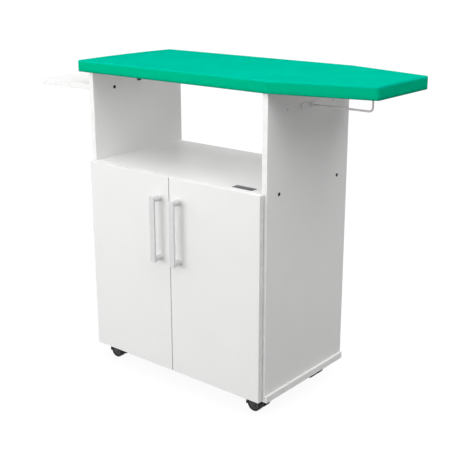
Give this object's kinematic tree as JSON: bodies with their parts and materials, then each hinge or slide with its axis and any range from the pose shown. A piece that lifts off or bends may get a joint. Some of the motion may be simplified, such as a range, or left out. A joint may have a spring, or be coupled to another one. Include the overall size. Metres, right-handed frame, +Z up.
{
  "type": "ironing board cabinet",
  "caption": "Ironing cabinet on casters with a padded green top, an open niche, hinged doors with bar handles, an iron rest and a wire hanger rail.",
  "frame": {"origin": "on the floor, under the centre of the box round the whole cabinet", "axes": "+X runs along the ironing top to its nose, -Y is the doors' side, +Z is up"},
  "size_m": [1.079, 0.3978, 0.8594],
  "materials": {
    "white_board": "satin",
    "white_hardboard": "matte",
    "foam": "matte",
    "green_cotton": "matte",
    "handle_paint": "satin",
    "hinge_steel": "satin",
    "zinc_steel": "satin",
    "dark_steel": "satin",
    "rail_wire": "satin",
    "white_paint": "satin",
    "black_plastic": "satin",
    "wheel_plastic": "satin"
  },
  "bodies": {
    "cabinet": {"left_side_panel": "white_board", "right_side_panel": "white_board", "base_panel": "white_board", "niche_shelf": "white_board", "inner_shelf": "white_board", "iron_rest_shelf": "white_board", "back_panel": "white_hardboard", "shelf_pins": "zinc_steel", "carcass_screws": "dark_steel", "iron_rest_screws": "dark_steel", "board_core": "white_board", "foam_pad": "foam", "ironing_cover": "green_cotton", "board_brackets": "dark_steel", "bracket_screws": "dark_steel", "hanger_rail": "rail_wire", "rail_wall_flange": "white_paint", "rail_board_flange": "white_paint", "rail_screws": "zinc_steel", "caster_screws": "zinc_steel", "hinge_plate_screws": "zinc_steel", "hinge_plates": "hinge_steel", "left_lower_hinge_arm": "hinge_steel", "left_upper_hinge_arm": "hinge_steel", "right_lower_hinge_arm": "hinge_steel", "right_upper_hinge_arm": "hinge_steel", "front_left_caster_plate": "zinc_steel", "front_right_caster_plate": "zinc_steel", "rear_left_caster_plate": "zinc_steel", "rear_right_caster_plate": "zinc_steel"},
    "left_door": {"left_door": "white_board", "left_handle": "handle_paint", "left_handle_screws": "zinc_steel", "left_cup_screws": "zinc_steel", "left_hinge_pins": "zinc_steel", "left_lower_hinge_cup": "hinge_steel", "left_upper_hinge_cup": "hinge_steel"},
    "right_door": {"right_door": "white_board", "right_handle": "handle_paint", "right_handle_screws": "zinc_steel", "right_cup_screws": "zinc_steel", "right_hinge_pins": "zinc_steel", "right_lower_hinge_cup": "hinge_steel", "right_upper_hinge_cup": "hinge_steel"},
    "front_left_swivel": {"front_left_caster_hood": "black_plastic", "front_left_caster_axle": "zinc_steel"},
    "front_left_front_wheel": {"front_left_caster_front_wheel": "wheel_plastic"},
    "front_left_rear_wheel": {"front_left_caster_rear_wheel": "wheel_plastic"},
    "front_right_swivel": {"front_right_caster_hood": "black_plastic", "front_right_caster_axle": "zinc_steel"},
    "front_right_front_wheel": {"front_right_caster_front_wheel": "wheel_plastic"},
    "front_right_rear_wheel": {"front_right_caster_rear_wheel": "wheel_plastic"},
    "rear_left_swivel": {"rear_left_caster_hood": "black_plastic", "rear_left_caster_axle": "zinc_steel"},
    "rear_left_front_wheel": {"rear_left_caster_front_wheel": "wheel_plastic"},
    "rear_left_rear_wheel": {"rear_left_caster_rear_wheel": "wheel_plastic"},
    "rear_right_swivel": {"rear_right_caster_hood": "black_plastic", "rear_right_caster_axle": "zinc_steel"},
    "rear_right_front_wheel": {"rear_right_caster_front_wheel": "wheel_plastic"},
    "rear_right_rear_wheel": {"rear_right_caster_rear_wheel": "wheel_plastic"}
  },
  "joints": [
    {"name": "left_door_hinge", "type": "hinge", "parent": "cabinet", "child": "left_door", "pos_m": [-0.2973, -0.16045, 0.3217], "axis": [0, 0, -1], "range_deg": [0, 110]},
    {"name": "right_door_hinge", "type": "hinge", "parent": "cabinet", "child": "right_door", "pos_m": [0.2783, -0.16045, 0.3217], "axis": [0, 0, 1], "range_deg": [0, 110]},
    {"name": "front_left_caster_swivel", "type": "hinge", "parent": "cabinet", "child": "front_left_swivel", "pos_m": [-0.2635, -0.10495, 0.036], "axis": [0, 0, 1], "continuous": true},
    {"name": "front_left_caster_front_wheel_spin", "type": "hinge", "parent": "front_left_swivel", "child": "front_left_front_wheel", "pos_m": [-0.2715, -0.11935, 0.02], "axis": [0, 1, 0], "continuous": true},
    {"name": "front_left_caster_rear_wheel_spin", "type": "hinge", "parent": "front_left_swivel", "child": "front_left_rear_wheel", "pos_m": [-0.2715, -0.09055, 0.02], "axis": [0, 1, 0], "continuous": true},
    {"name": "front_right_caster_swivel", "type": "hinge", "parent": "cabinet", "child": "front_right_swivel", "pos_m": [0.2445, -0.10495, 0.036], "axis": [0, 0, 1], "continuous": true},
    {"name": "front_right_caster_front_wheel_spin", "type": "hinge", "parent": "front_right_swivel", "child": "front_right_front_wheel", "pos_m": [0.2365, -0.11935, 0.02], "axis": [0, 1, 0], "continuous": true},
    {"name": "front_right_caster_rear_wheel_spin", "type": "hinge", "parent": "front_right_swivel", "child": "front_right_rear_wheel", "pos_m": [0.2365, -0.09055, 0.02], "axis": [0, 1, 0], "continuous": true},
    {"name": "rear_left_caster_swivel", "type": "hinge", "parent": "cabinet", "child": "rear_left_swivel", "pos_m": [-0.2635, 0.13905, 0.036], "axis": [0, 0, 1], "continuous": true},
    {"name": "rear_left_caster_front_wheel_spin", "type": "hinge", "parent": "rear_left_swivel", "child": "rear_left_front_wheel", "pos_m": [-0.2715, 0.12465, 0.02], "axis": [0, 1, 0], "continuous": true},
    {"name": "rear_left_caster_rear_wheel_spin", "type": "hinge", "parent": "rear_left_swivel", "child": "rear_left_rear_wheel", "pos_m": [-0.2715, 0.15345, 0.02], "axis": [0, 1, 0], "continuous": true},
    {"name": "rear_right_caster_swivel", "type": "hinge", "parent": "cabinet", "child": "rear_right_swivel", "pos_m": [0.2445, 0.13905, 0.036], "axis": [0, 0, 1], "continuous": true},
    {"name": "rear_right_caster_front_wheel_spin", "type": "hinge", "parent": "rear_right_swivel", "child": "rear_right_front_wheel", "pos_m": [0.2365, 0.12465, 0.02], "axis": [0, 1, 0], "continuous": true},
    {"name": "rear_right_caster_rear_wheel_spin", "type": "hinge", "parent": "rear_right_swivel", "child": "rear_right_rear_wheel", "pos_m": [0.2365, 0.15345, 0.02], "axis": [0, 1, 0], "continuous": true}
  ]
}
